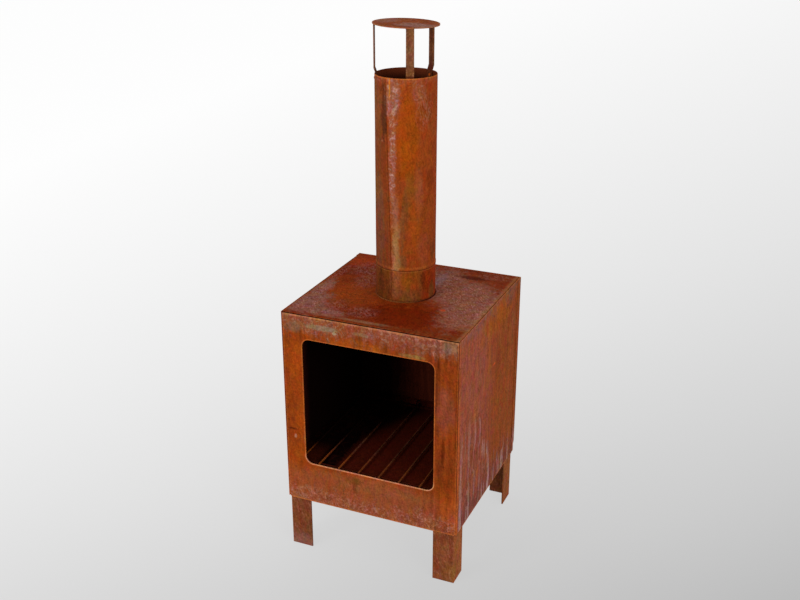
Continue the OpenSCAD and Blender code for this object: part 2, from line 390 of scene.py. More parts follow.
def top_face(f, g):
    """Top: bare red round the flue, with purplish film towards the sides and the back; the film's
    lilac-grey is partly a painted sky reflection.
    """
    left = SHEET_LO.x
    right = SHEET_HI.x
    rear = SHEET_HI.y
    rag = g["rag"]
    colour = f.mix(g["cloud"].rise(0.36, 0.64), tone("682307"), tone("742c0b"))
    colour = f.mix(g["mottle"].rise(0.50, 0.64) * 0.5, colour, tone("561a05"))
    colour = marks(f, colour, f.x, f.y, rag, (
        (-0.100, -0.040, 0.072, 0.062, 0.70, "7e340c"), (0.000, -0.070, 0.060, 0.026, 0.50, "7c2e07"),
        (0.050, -0.118, 0.085, 0.056, 0.90, "5f1902"), (-0.168, 0.146, 0.034, 0.036, 0.70, "8a3012"),
        (0.159, 0.146, 0.048, 0.036, 0.60, "702b13"), (0.096, 0.183, 0.022, 0.006, 0.60, "581c08")))

    solid = patches(f, f.x, f.y, rag, 0.3, (
        (-0.166, -0.125, 0.042, 0.062), (-0.120, -0.160, 0.052, 0.022),
        (-0.177, -0.040, 0.020, 0.052), (0.160, -0.030, 0.056, 0.118),
        (0.117, 0.042, 0.072, 0.078), (0.044, 0.110, 0.056, 0.066)))
    broken = patches(f, f.x, f.y, rag, 0.35, (
        (-0.183, 0.054, 0.012, 0.055), (-0.102, 0.040, 0.034, 0.048),
        (-0.129, 0.100, 0.046, 0.045), (-0.042, -0.130, 0.036, 0.026),
        (-0.110, -0.130, 0.030, 0.040), (0.150, 0.165, 0.050, 0.020)))
    broken = broken * g["stroke"].rise(0.44, 0.60)
    # the film is mill scale, its lilac-grey colour partly a painted reflection of the sky
    film = solid * (g["swirl"].rise(0.34, 0.58) * 0.50 + 0.40)
    right_side = f.x.rise(0.02, 0.08)
    colour = f.mix(film, colour, f.mix(right_side, tone("7a4c3e"), tone("824e3c")))
    colour = f.mix(film * g["stroke"].rise(0.50, 0.64) * 0.55, colour, tone("8f6c62"))
    colour = f.mix(broken * 0.50, colour, tone("7c5249"))

    behind_bend = f.y - FRONT_Y
    strip = (behind_bend + ragged_edge(g, 0.030)).rise(0.028, 0.010) * f.x.rise(-0.09, -0.04)
    colour = f.mix(strip * g["streak"].rise(0.40, 0.60) * 0.5, colour, tone("60381a"))
    colour = marks(f, colour, f.x, f.y, rag, (
        (0.098, 0.1415, 0.036, 0.010, 0.80, "4a170b"), (0.109, -0.056, 0.005, 0.005, 0.80, "b03c10"),
        (-0.020, FRONT_Y + 0.016, 0.060, 0.006, 0.45, "7d6046"),
        (0.040, 0.100, 0.012, 0.040, 0.35, "7a6a6a")))
    edge = (right - f.x).smaller(f.x - left)
    pale_edge = (edge + ragged_edge(g, 0.02)).rise(0.012, 0.003) * f.x.rise(0.0, 0.05)
    colour = f.mix(pale_edge * 0.45, colour, tone("8f6442"))
    rub = (edge + ragged_edge(g, 0.004)).rise(0.004, 0.001)
    rub = rub.larger((rear - f.y).rise(0.004, 0.001))
    return f.mix(rub * 0.5, colour, tone("90491f")), film


def front_top_finish():
    """One bent sheet: front, bend and top, with sooted inner faces."""
    f = Finish("rust_front_and_top", "front_and_top")
    g = sheet_grains(f)
    mouth_half = (MOUTH_HALF_W, MOUTH_HALF_H)
    rim = outward_distance(f.x, f.z, (MOUTH_X, MOUTH_Z), mouth_half, MOUTH_R)
    front, front_film = front_face(f, g, rim)
    top, top_scale_and_reflection = top_face(f, g)
    round_bend = (f.y - FRONT_Y) - (TOP_Z - f.z)
    on_top = (round_bend + ragged_edge(g, 0.006)).rise(-0.0020, 0.0020)
    colour = f.mix(on_top, front, top)
    arris = (round_bend + ragged_edge(g, 0.010)).line(-0.0020, 0.0018, 0.0030)
    colour = f.mix(arris * 0.50, colour, tone("a8704c"))
    colour = grained(f, g, colour)
    inside = (f.y - FRONT_Y).rise(SKIN, SKIN_END) * (TOP_Z - f.z).rise(SKIN, SKIN_END)
    colour = f.mix(inside * rim.rise(0.0004, 0.001), colour, SOOT_AND_SHADE)
    film = front_film + (top_scale_and_reflection - front_film) * on_top
    rough = 0.84 - film * 0.22 + (g["speck"] - 0.5) * 0.3
    relief = g["speck"] * 0.4 + g["mottle"] * 0.7 + g["stroke"] * film * 1.2
    return f.close(colour, rough, relief, SHEET_RELIEF)


def side_outside(f, g, along, seed, wetness):
    """Side and back sheets: red-brown, with purplish drips down the lower half."""
    up = f.z - SIDE_LO.z
    down = TOP_Z - f.z
    m = g["mottle"]
    colour = f.mix((along + ragged_edge(g, 0.2)).rise(-0.06, 0.06), tone("8f4a35"), tone("86421e"))
    colour = f.mix(m.rise(0.50, 0.66) * 0.35, colour, tone("733321"))
    colour = f.mix(m.rise(0.43, 0.32) * 0.35, colour, tone("92491f"))
    colour = f.mix(g["streak"].rise(0.52, 0.66) * 0.3, colour, tone("97491c"))
    colour = marks(f, colour, along, f.z, g["rag"], (
        (0.042, 0.532, 0.100, 0.034, 0.65, "934a15"), (-0.012, 0.490, 0.012, 0.060, 0.35, "9a4c18"),
        (-0.098, 0.366, 0.010, 0.022, 0.50, "a85320"), (-0.115, 0.432, 0.060, 0.080, 0.40, "8d4a35"),
        (0.023, 0.426, 0.009, 0.002, 0.75, "c04818"), (0.130, 0.545, 0.040, 0.020, 0.40, "70463c"),
        (0.150, 0.480, 0.014, 0.050, 0.30, "804c30")))

    # drips: pale bands over a damp, darker foot
    ragged = ragged_edge(g, 0.13)
    tide = (along + ragged * 0.4).rise(0.03, -0.05) * 0.155 + 0.075
    wet = (up + ragged * 0.7 - tide).rise(0.02, -0.05)
    foot = (up + ragged * 0.8).rise(0.080, 0.020)
    wander = f.grain((10, 10, 16), 2.0, 0.5, 0.0, seed + 9)
    bent = f.node("CombineXYZ", {}, {0: f.x + wander * 0.03, 1: f.y + wander * 0.03, 2: f.z})
    drip = f.grain((66, 66, 1.6), 2.0, 0.55, 0.0, seed + 8, bent)
    run = drip.rise(0.48, 0.60) * (g["streak"].rise(0.38, 0.60) * 0.5 + 0.5)
    colour = f.mix(foot * 0.60, colour, tone("6c3f38"))
    colour = f.mix(drip.line(0.47, 0.02, 0.03) * wet * 0.35, colour, tone("5c2a1c"))
    run = run * wetness
    colour = f.mix(run * wet * 0.65, colour, tone("9c7268"))
    colour = f.mix(run * foot * 0.45, colour, tone("aa8c86"))

    film = (down + ragged).rise(0.030, 0.004) * g["stroke"].rise(0.34, 0.58)
    colour = f.mix(film * 0.65, colour, tone("76544a"))
    front_edge = (f.y - FRONT_Y + ragged_edge(g, 0.012)).rise(0.012, 0.003)
    colour = f.mix(front_edge * (f.z.rise(0.52, 0.30) * 0.45 + 0.35), colour, tone("a9501a"))
    # painted highlight: orange along the bottom and top edges, where the sheet's edge catches the
    # light
    edge = (up + ragged_edge(g, 0.004)).rise(0.0040, 0.0010) * 0.8
    edge = edge.larger((down + ragged_edge(g, 0.006)).rise(0.0034, 0.0010) * 0.55)
    colour = f.mix(edge * 0.8, colour, tone("a55a2a"))
    return colour, run * wet


def close_side(f, g, colour, run):
    """Relief that the sides and the back share: the runs stand a little proud."""
    rough = 0.82 - run * 0.10 + (g["speck"] - 0.5) * 0.3
    relief = g["speck"] * 0.3 + g["mottle"] * 0.5 + run * 1.4 + g["stroke"] * 0.2
    return f.close(colour, rough, relief, SHEET_RELIEF)


def side_finish():
    """Side panels: dripped less on the left one; inside, soot with painted shade, and painted light
    near the mouth.
    """
    f = Finish("rust_sides", "side_panels")
    g = sheet_grains(f, 10.0)
    wetness = f.x.rise(-0.01, 0.01) * 0.45 + 0.55
    colour, run = side_outside(f, g, f.y, 10.0, wetness)
    colour = grained(f, g, colour, 1.1)
    inside = (f.x.size() - SIDE_HI.x).rise(-SKIN, -SKIN_END) * (f.z - FLOOR_HI.z).rise(-0.02, 0.0)
    # painted light near the mouth, fading to soot with painted shade further in
    dim = f.mix((f.y + ragged_edge(g, 0.03)).rise(-0.08, -0.165), SOOT_AND_SHADE, tone("5a2318"))
    return close_side(f, g, f.mix(inside, colour, dim), run)


def back_finish():
    """Back sheet and its flanges; its inner face is soot with painted shade, with painted light at
    the right.
    """
    f = Finish("rust_back", "back_panel")
    g = sheet_grains(f, 15.0)
    on_flange = (BACK_HI.y - f.y).rise(0.0016, 0.0022)
    across_back = -f.x - 0.05
    along = across_back + (f.y - across_back) * on_flange
    colour, run = side_outside(f, g, along, 15.0, on_flange * 0.5 + 0.5)
    colour = grained(f, g, colour, 1.1)
    inner = (BACK_HI.y - f.y).rise(0.0012, 0.0015) * (SIDE_HI.x - f.x.size()).rise(0.0, 0.0005)
    # painted light through the mouth on the inner face's right part, over soot with painted shade
    lighter_patch = (f.x + ragged_edge(g, 0.05)).rise(-0.125, 0.0) * (g["streak"].rise(0.40, 0.56) * 0.3 + 0.7)
    dim = f.mix(lighter_patch, SOOT_AND_SHADE, tone("6a2c1a"))
    return close_side(f, g, f.mix(inner, colour, dim), run)


# soot and painted shadow cover the grate and the floor behind a slanting line, the edge of the
# painted light that falls in through the mouth: metres back for each metre across
SHADOW_SLANT = 2.2


def floor_finish():
    """Floor plate: red where painted light falls, towards the mouth's right and in its left front
    corner; else soot with painted shadow.
    """
    f = Finish("rust_floor", "floor")
    g = sheet_grains(f, 20.0)
    # painted light falls in through the mouth on the red patch; beyond the slanting line is painted
    # shadow
    into_shadow = f.y - f.x * SHADOW_SLANT + ragged_edge(g, 0.08)
    lighter_patch = (f.x + ragged_edge(g, 0.02)).rise(-0.100, -0.080) * into_shadow.rise(0.22, 0.10)
    colour = f.mix(lighter_patch, SOOT_AND_SHADE, tone(FLOOR_RED))
    # painted light in a narrow wedge at the left front corner
    lit_corner = (f.x + ragged_edge(g, 0.014)).rise(-0.130, -0.144)
    lit_corner = lit_corner * (f.y + ragged_edge(g, 0.05)).rise(-0.075, -0.150)
    colour = f.mix(lit_corner * 0.75, colour, tone("4e1a0b"))
    colour = f.mix(g["mottle"].rise(0.48, 0.64) * 0.4, colour, EMBER)
    # painted light: the rear strip at the right is made lighter red
    colour = f.mix(f.y.rise(0.140, 0.165) * f.x.rise(-0.12, -0.04) * 0.8, colour, tone("6e2816"))
    under = (FLOOR_HI.z - f.z).rise(SKIN, SKIN_END)
    underside = f.mix(g["mottle"].rise(0.4, 0.6), tone("6b3424"), tone("56281b"))
    colour = f.mix(under, colour, underside)
    relief = g["speck"] * 0.5 + g["mottle"] * 0.8
    return f.close(grained(f, g, colour), 0.9 - g["speck"] * 0.2, relief, SMOOTH_RELIEF)


def leg_finish():
    """Legs: duller and browner than the sheets, pale at the feet, rubbed on the arris."""
    f = Finish("rust_legs", "legs")
    g = sheet_grains(f, 30.0)
    colour = rust_ground(f, g, tone("7c4524"), tone("6c3820"), tone("522416"))
    colour = f.mix(g["streak"].rise(0.50, 0.62) * 0.45, colour, tone("6a2c12"))
    colour = f.mix(g["stroke"].rise(0.52, 0.64) * 0.30, colour, tone("835646"))
    foot = (f.z + ragged_edge(g, 0.06)).rise(0.042, 0.008) * f.x.rise(0.05, -0.05)
    colour = f.mix(foot * 0.5, colour, tone("84584e"))
    outer_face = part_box("leg_front_right")[1].x
    arris = (f.x.size() - outer_face).size().rise(0.0022, 0.0004)
    colour = f.mix(arris * 0.5, colour, tone("93532c"))
    # painted light: the front-right leg is made lighter than the others
    colour = f.shade(colour, (f.x - f.y).rise(0.15, 0.33) * 0.14 + 1.0)
    relief = g["speck"] * 0.5 + g["mottle"] * 0.7 + g["stroke"] * 0.3
    return f.close(grained(f, g, colour), 0.86 - g["speck"] * 0.2, relief, SHEET_RELIEF)


# ---- the flue's and cap's finishes ----

def flue_angle(f):
    """Angle round the flue in degrees, 0 at the front, growing towards +X."""
    return (f.x - FLUE_X).math("ARCTAN2", FLUE_Y - f.y) * (180 / math.pi)


def from_flue(f):
    """Distance from the flue's axis."""
    across = f.x - FLUE_X
    along = f.y - FLUE_Y
    return (across * across + along * along).power(0.5)


# seams, in degrees round the flue; the pipe's one drifts by so many for each metre below the rim
SEAM_TOP_ANGLE = -17.5
SEAM_SLANT = 29.0
COLLAR_SEAM_ANGLE = -5.0

# marks on the flue are (degrees round it, height in steps of 5 mm)
STEPS_PER_METRE = 200.0


def pipe_finish():
    """Pipe: brown left of its seam, orange at the front, grey-violet film near rim and seam."""
    f = Finish("rust_pipe", "pipe")
    g = sheet_grains(f, 40.0)
    rag = g["rag"]
    angle = flue_angle(f)
    down = RIM_Z - f.z
    past_seam = angle - (down * SEAM_SLANT + SEAM_TOP_ANGLE)
    colour = rust_ground(f, g, tone("8f4114"), tone("843a15"), tone("6c2a0e"))
    colour = f.mix((angle + ragged_edge(g, 30.0)).rise(48.0, 66.0) * 0.75, colour, tone("893a15"))

    # darker, mixed brown sheet left of the seam
    left = (past_seam + ragged_edge(g, 8.0)).rise(3.0, -4.0)
    streaked = f.mix(g["streak"].rise(0.42, 0.58), tone("6a3a1c"), tone("6c2f14"))
    colour = f.mix(left * 0.80, colour, streaked)

    # bare and stained places, counted down from the rim
    deep = down * STEPS_PER_METRE
    colour = marks(f, colour, angle, deep, rag, (
        (26.0, 24.0, 19.0, 17.0, 0.85, "8f3e08"), (40.0, 60.0, 12.0, 13.0, 0.65, "90420e"),
        (48.0, 46.0, 9.0, 10.0, 0.50, "8b4a2c"), (75.0, 41.0, 10.0, 4.5, 0.55, "68250b"),
        (60.0, 70.0, 14.0, 8.0, 0.45, "8a4224"), (84.0, 72.0, 9.0, 5.0, 0.55, "5e3417"),
        (30.0, 45.0, 10.0, 6.0, 0.55, "784416"), (22.0, 53.0, 6.0, 9.0, 0.60, "6a3e1c"),
        (16.0, 62.0, 4.0, 9.0, 0.50, "6c4424"), (18.0, 76.0, 7.0, 3.0, 0.60, "6a4626"),
        (-40.0, 46.0, 16.0, 7.0, 0.45, "6d4a22"), (-34.0, 60.0, 14.0, 16.0, 0.40, "6b4032"),
        (-44.0, 12.0, 14.0, 8.0, 0.40, "7a4a2c"), (-20.0, 14.0, 6.0, 12.0, 0.65, "3f1c12")))

    # grey-violet film near the rim and in a band beside the seam
    near_rim = f.patch(angle, deep, (-3.0, 8.0), (13.0, 9.0), rag, 0.45)
    film = near_rim.larger(f.patch(angle, deep, (-3.0, 28.0), (6.5, 24.0), rag, 0.5))
    all_round = (down + ragged_edge(g, 0.03)).rise(0.016, 0.004)
    second = f.patch(angle, deep, (48.0, 6.0), (13.0, 4.0), rag).larger(all_round * 0.6)
    broken = f.patch(angle, deep, (60.0, 13.0), (18.0, 8.0), rag) * g["stroke"].rise(0.48, 0.60)
    colour = film_over(f, g, colour, film, "8c5643", "b08a7c")
    colour = film_over(f, g, colour, second * 0.8, "8c4c34", "a3725c")
    colour = f.mix(broken * 0.40, colour, tone("8a6050"))

    # pale run low beside the seam
    pale = (angle + ragged_edge(g, 22.0)).line(4.0, 1.5, 8.0)
    pale = pale * (down + ragged_edge(g, 0.06)).rise(0.22, 0.27)
    colour = f.mix(pale * 0.60, colour, f.mix(down.rise(0.29, 0.33), tone("8e5c46"), tone("9a7048")))

    # the seam's shadow, then the rubbed places and the ends
    seam = past_seam.line(0.3, 0.5, 1.0)
    colour = f.mix(seam * 0.45, colour, tone("3a1408"))
    rub = (angle + ragged_edge(g, 2.0)).line(-8.0, 0.8, 1.2) * down.rise(0.055, 0.030)
    colour = f.mix(rub * 0.8, colour, tone("b8681e"))
    scuff = down.line(0.127, 0.0008, 0.0016) * angle.rise(-20.0, -28.0) * g["streak"].rise(0.4, 0.6)
    colour = f.mix(scuff * 0.7, colour, tone("9a6a40"))
    # light at the rim, and a painted highlight on the swell's shoulder 6 mm above the joint
    rim = down.rise(0.0030, 0.0008) + (f.z - JOINT_Z - 0.006).size().rise(0.0030, 0.0010) * 0.2
    colour = f.mix(rim.smaller(1.0) * 0.7, colour, tone("ac5f28"))
    # painted shadow line along the pipe's lower edge at the joint
    joint_shadow_line = (f.z - JOINT_Z).rise(0.0020, 0.0004)
    colour = f.mix(joint_shadow_line * 0.8, colour, tone("2e1008"))
    colour = grained(f, g, colour, 0.95)
    # painted shade inside the bore, darker further down from the rim
    inside = from_flue(f).rise(PIPE_R - 0.0006, PIPE_R - 0.0012)
    colour = f.mix(inside, colour, f.mix(down.rise(0.0, 0.03), tone("5c2814"), tone("1c0a05")))
    rough = 0.78 - film * 0.12 + (g["speck"] - 0.5) * 0.3
    relief = g["speck"] * 0.4 + g["mottle"] * 0.6 + film * g["stroke"]
    return f.close(colour, rough, relief, SHEET_RELIEF)


def collar_finish():
    """Collar: brown left of its seam, redder at the right, painted shade at the foot, dark on the
    spigot.
    """
    f = Finish("rust_collar", "collar")
    g = sheet_grains(f, 50.0)
    angle = flue_angle(f)
    up = f.z - TOP_Z
    colour = rust_ground(f, g, tone("7c3f18"), tone("6c3414"), tone("50240d"))
    lighter_patch = (angle + ragged_edge(g, 14.0)).line(28.0, 14.0, 14.0)
    lighter_patch = lighter_patch * (up + ragged_edge(g, 0.04)).rise(0.010, 0.045)
    colour = f.mix(lighter_patch * 0.6, colour, tone("8a420e"))
    right = (angle + ragged_edge(g, 14.0)).rise(48.0, 66.0)
    colour = f.mix(right * 0.80, colour, tone("82290a"))
    left = (angle + ragged_edge(g, 8.0)).rise(COLLAR_SEAM_ANGLE + 2.0, COLLAR_SEAM_ANGLE - 6.0)
    colour = f.mix(left * 0.60, colour, tone("54250a"))
    pale = (angle + ragged_edge(g, 18.0)).line(4.0, 4.0, 9.0) * up.rise(0.0, 0.03)
    colour = f.mix(pale * 0.35, colour, tone("86543a"))
    colour = marks(f, colour, angle, up * STEPS_PER_METRE, g["rag"], (
        (82.0, 3.0, 10.0, 4.0, 0.5, "5c4420"), (58.0, 9.0, 5.0, 4.0, 0.6, "5c1f06"),
        (-30.0, 6.0, 8.0, 6.0, 0.4, "3f2410"), (30.0, 3.0, 16.0, 3.0, 0.4, "6e4420")))
    seam = angle.line(COLLAR_SEAM_ANGLE, 0.6, 1.2)
    colour = f.mix(seam * 0.35, colour, tone("3a1a0c"))
    # painted shade at the foot, where the collar meets the top
    colour = f.mix((up + ragged_edge(g, 0.004)).rise(0.006, 0.001) * 0.6, colour, tone("3c1608"))
    colour = f.mix((f.z - JOINT_Z + 0.002).size().rise(0.0020, 0.0006) * 0.3, colour, tone("96582c"))
    colour = f.mix((f.z - JOINT_Z).rise(0.0, 0.0006) * 0.7, colour, tone("4a2618"))
    colour = grained(f, g, colour, 1.1)
    relief = g["speck"] * 0.4 + g["mottle"] * 0.6 + g["stroke"] * 0.3
    return f.close(colour, 0.8 - g["speck"] * 0.2, relief, SMOOTH_RELIEF)


def collar_weld_finish():
    """The bead round the collar's foot: brown at the left, nearly black at the right."""
    f = Finish("rust_collar_weld", "collar")
    g = sheet_grains(f, 55.0)
    shaded = (f.x - FLUE_X + (f.y - FLUE_Y) * 0.3 + ragged_edge(g, 0.03)).rise(0.0, 0.05)
    colour = f.mix(shaded, tone("6a3a1c"), tone("3a140a"))
    colour = f.mix(g["mottle"].rise(0.44, 0.60) * 0.5, colour, tone("4a1c0c"))
    return f.close(grained(f, g, colour), 0.85 - g["speck"] * 0.2, g["speck"] * 0.6, FINE_RELIEF)


def cap_finish():
    """Rain cap: brown with two grey patches and a rubbed edge."""
    f = Finish("rust_cap", "cap")
    g = sheet_grains(f, 60.0)
    colour = rust_ground(f, g, tone("86431e"), tone("763618"), tone("5a2410"))
    m = g["mottle"]
    right = f.patch(f.x, f.y, (FLUE_X + 0.030, FLUE_Y - 0.020), (0.040, 0.028), m)
    left = f.patch(f.x, f.y, (FLUE_X - 0.045, FLUE_Y + 0.010), (0.022, 0.030), m)
    grey = right.larger(left * 0.6)
    colour = f.mix(grey * 0.65, colour, tone("86625a"))
    edge = (from_flue(f) + ragged_edge(g, 0.004)).rise(0.0630, 0.0665)
    colour = f.mix(edge * 0.6, colour, tone("955a38"))
    relief = g["speck"] * 0.6 + m * 0.7
    return f.close(grained(f, g, colour), 0.85 - g["speck"] * 0.2, relief, SMOOTH_RELIEF)


def strip_finish():
    """Strips: brown outside, dark on the faces turned to the smoke."""
    f = Finish("rust_strips", "cap_strips")
    g = sheet_grains(f, 70.0)
    colour = rust_ground(f, g, tone("7d4c2e"), tone("6c3e26"), tone("4e2818"))
    colour = f.mix(g["speck"].rise(0.54, 0.66) * 0.4, colour, tone("8f6a52"))
    smoked = from_flue(f).rise(PIPE_R - 0.0002, PIPE_R - 0.0010)
    colour = f.mix(smoked * 0.75, colour, tone("42180e"))
    relief = g["speck"] * 0.6 + g["mottle"] * 0.5
    return f.close(grained(f, g, colour), 0.85 - g["speck"] * 0.2, relief, FINE_RELIEF)


def rivet_finish():
    """Rivets: the brightest orange on the flue."""
    f = Finish("rust_rivets", "cap_strips")
    g = sheet_grains(f, 75.0)
    colour = f.mix(g["speck"].rise(0.4, 0.6), tone("a84a12"), tone("8a3a12"))
    return f.close(colour, 0.8 - g["speck"] * 0.2, g["speck"], ROD_RELIEF)


def grate_finish(name, light, dark, tip, seed):
    """Rods and tacks: dark with soot and painted shadow towards the back left, with painted light at
    the front tips.
    """
    f = Finish(name, "grate")
    g = sheet_grains(f, seed)
    colour = f.mix(g["mottle"].rise(0.42, 0.62), tone(light), tone(dark))
    # painted shadow, along the same slanting line as on the floor
    soot_and_shadow = (f.y - f.x * SHADOW_SLANT + ragged_edge(g, 0.05)).rise(0.13, 0.23)
    colour = f.mix(soot_and_shadow * 0.95, colour, SOOT_AND_SHADE)
    # painted light on the front tips, strongest at the left
    lit_front_end = (f.y + ragged_edge(g, 0.02)).rise(-0.095, -0.150)
    colour = f.mix(lit_front_end * (f.x.rise(-0.02, -0.10) * 0.35 + 0.35), colour, tone(tip))
    relief = g["speck"] * 0.7 + g["mottle"] * 0.3
    return f.close(grained(f, g, colour), 0.85 - g["speck"] * 0.2, relief, ROD_RELIEF)


front_top_finish().dress(NODES["front_top_sheet"])
side_finish().dress(NODES["left_side_panel"], NODES["right_side_panel"])
back_finish().dress(NODES["back_panel"])
floor_finish().dress(NODES["floor_plate"])
leg_rust = leg_finish()
leg_rust.dress(*(NODES[n] for n in NODES if n.startswith("leg_")))
cap_finish().dress(NODES["cap_disc"])
strip_finish().dress(*(NODES[n] for n in NODES if n.startswith("cap_strip")))
rivet_finish().dress(NODES["cap_rivets"])
grate_finish("rust_rods", "5c301f", "3c1a0e", "8a4212", 80.0).dress(
    *(NODES[n] for n in NODES if n.startswith("grate_rod")))
grate_finish("rust_cross_rods", FLOOR_RED, "2c0e06", "2c0e06", 85.0).dress(
    NODES["grate_cross_front"], NODES["grate_cross_back"], NODES["grate_loop"])


# ---- pieces made here ----

def add_piece(name, shape, finish, body):
    """Turns a finished bmesh into a piece that rides on a body."""
    bmesh.ops.recalc_face_normals(shape, faces=shape.faces)
    mesh = bpy.data.meshes.new(name)
    shape.to_mesh(mesh)
    shape.free()
    mesh.shade_smooth()
    mesh.set_sharp_from_angle(angle=math.radians(40))
    piece = bpy.data.objects.new(name, mesh)
    bpy.context.scene.collection.objects.link(piece)
    finish.dress(piece)
    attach(piece, body)
    return piece


def join_rings(shape, rings, closed):
    """Faces between rings of points; closed joins the last ring to the first."""
    made = [[shape.verts.new(p) for p in ring] for ring in rings]
    pairs = list(zip(made, made[1:])) + ([(made[-1], made[0])] if closed else [])
    for low, high in pairs:
        for i in range(len(low)):
            j = (i + 1) % len(low)
            shape.faces.new((low[i], low[j], high[j], high[i]))
    if not closed:
        shape.faces.new(made[0])
        shape.faces.new(list(reversed(made[-1])))


# the lapped sheet stands out by LAP_T for LAP_FLAT degrees, then fades over LAP_FADE degrees
LAP_T = 0.6 * MM
LAP_FLAT = 8.0
LAP_FADE = 26.0
DENT = 0.5 * MM
DENTS_PER_METRE = 9
ROUNDED = 0.4 * MM
COLUMNS = 168
SEAM_GAP = 0.25


def lap_height(past_seam):
    """How far the lapped sheet stands out, by degrees to the left of its seam."""
    fade = min(max((past_seam - LAP_FLAT) / LAP_FADE, 0.0), 1.0)
    return LAP_T * (1 - fade * fade * (3 - 2 * fade))


def rolled_tube(profile, seam_angle, slant=0.0):
    """A sheet rolled into a tube. A profile row is (radius, height, share of the lap and dents).

    The seam drifts by slant degrees for each metre below the rim.
    """
    shape = bmesh.new()
    turns = [SEAM_GAP] + [360 * i / COLUMNS for i in range(1, COLUMNS)] + [360 - SEAM_GAP]
    rings = []
    for radius, height, loose in profile:
        ring = []
        for turn in turns:
            angle = math.radians(seam_angle + slant * (RIM_Z - height) + turn)
            spot = Vector((2 * math.cos(angle), 2 * math.sin(angle), height * DENTS_PER_METRE))
            out = radius + loose * (lap_height(360 - turn) + DENT * abs(noise.noise(spot)))
            ring.append((FLUE_X + out * math.sin(angle), FLUE_Y - out * math.cos(angle), height))
        rings.append(ring)
    join_rings(shape, rings, closed=True)
    return shape


def make_pipe(finish):
    """The pipe: swelled lower end, lapped seam down its front left, slight dents."""
    rows = 46
    profile = [(PIPE_HEM_R - ROUNDED, JOINT_Z, 0), (PIPE_HEM_R, JOINT_Z + ROUNDED, 0.3),
               (PIPE_HEM_R, JOINT_Z + 4.6 * MM, 0.5), (PIPE_R + ROUNDED, JOINT_Z + 5.6 * MM, 0.7),
               (PIPE_R, JOINT_Z + 7.0 * MM, 1)]
    start = JOINT_Z + 10 * MM
    end = RIM_Z - 0.5 * MM
    profile += [(PIPE_R, start + (end - start) * i / rows, 1) for i in range(rows + 1)]
    profile += [(PIPE_R - ROUNDED, RIM_Z, 1), (PIPE_IN_R + ROUNDED, RIM_Z, 0),
                (PIPE_IN_R, RIM_Z - ROUNDED, 0), (PIPE_IN_R, JOINT_Z, 0)]
    piece = add_piece("pipe_shell", rolled_tube(profile, SEAM_TOP_ANGLE, SEAM_SLANT), finish, "flue")
    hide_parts("flue_pipe")


def make_collar(finish):
    """The collar: a short rolled tube, stepped in to the spigot that the pipe slides over."""
    running_gap = 0.3 * MM
    spigot_r = PIPE_IN_R - running_gap
    bore_r = COLLAR_R - FLUE_WALL
    rows = 10
    end = JOINT_Z - ROUNDED
    profile = [(COLLAR_R, TOP_Z + (end - TOP_Z) * i / rows, 0.8 if i < rows else 0.3)
               for i in range(rows + 1)]
    profile += [(COLLAR_R - ROUNDED, JOINT_Z, 0.2), (spigot_r, JOINT_Z, 0),
                (spigot_r, COLLAR_HI.z - 2 * MM, 0), (spigot_r - FLUE_WALL / 2, COLLAR_HI.z, 0),
                (spigot_r - FLUE_WALL, COLLAR_HI.z, 0), (spigot_r - FLUE_WALL, JOINT_Z - 4 * MM, 0),
                (bore_r, JOINT_Z - 8 * MM, 0), (bore_r, TOP_Z, 0)]
    piece = add_piece("collar_shell", rolled_tube(profile, COLLAR_SEAM_ANGLE), finish, "root")
    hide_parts("flue_collar")


RIPPLE = 2.4 * MM
STEPS_PER_RIPPLE = 3
BEAD_SIDES = 8
BEAD_TILT = Vector((0.31, 0.27, 0.91))
BUMPS_PER_METRE = 300


def bead(shape, path, radius, closed=False):
    """A weld bead: a thin rope of overlapping ripples along a path of points."""
    points = [Vector(p) for p in path]
    corners = points + [points[0]] if closed else points
    spots = []
    for a, b in zip(corners, corners[1:]):
        steps = max(1, round((b - a).length / (RIPPLE / STEPS_PER_RIPPLE)))
        spots += [a.lerp(b, i / steps) for i in range(steps)]
    if not closed:
        spots.append(corners[-1])
    rings = []
    for i, spot in enumerate(spots):
        after = spots[(i + 1) % len(spots)] if closed or i + 1 < len(spots) else spot
        before = spots[i - 1] if closed or i else spot
        along = (after - before).normalized()
        side = along.cross(BEAD_TILT).normalized()
        up = side.cross(along)
        # ripples swell, an open bead's ends taper, and no two rings are alike
        swell = 0.82 + 0.26 * abs(math.sin(math.pi * i / STEPS_PER_RIPPLE))
        ends = 1.0 if closed else min(1.0, 0.35 + 0.4 * min(i, len(spots) - 1 - i))
        jitter = 1 + 0.25 * noise.noise(spot * BUMPS_PER_METRE)
        r = radius * swell * ends * jitter
        ring = []
        for k in range(BEAD_SIDES):
            turn = 2 * math.pi * k / BEAD_SIDES
            ring.append(spot + side * (r * math.cos(turn)) + up * (r * math.sin(turn)))
        rings.append(ring)
    join_rings(shape, rings, closed)


def make_collar_weld(finish):
    """A bead all round the collar's foot."""
    shape = bmesh.new()
    sides = 120
    reach = COLLAR_R + 0.6 * MM
    ring = [(FLUE_X + reach * math.cos(2 * math.pi * i / sides),
             FLUE_Y + reach * math.sin(2 * math.pi * i / sides), TOP_Z + 0.5 * MM)
            for i in range(sides)]
    bead(shape, ring, 1.5 * MM, closed=True)
    add_piece("collar_weld", shape, finish, "root")


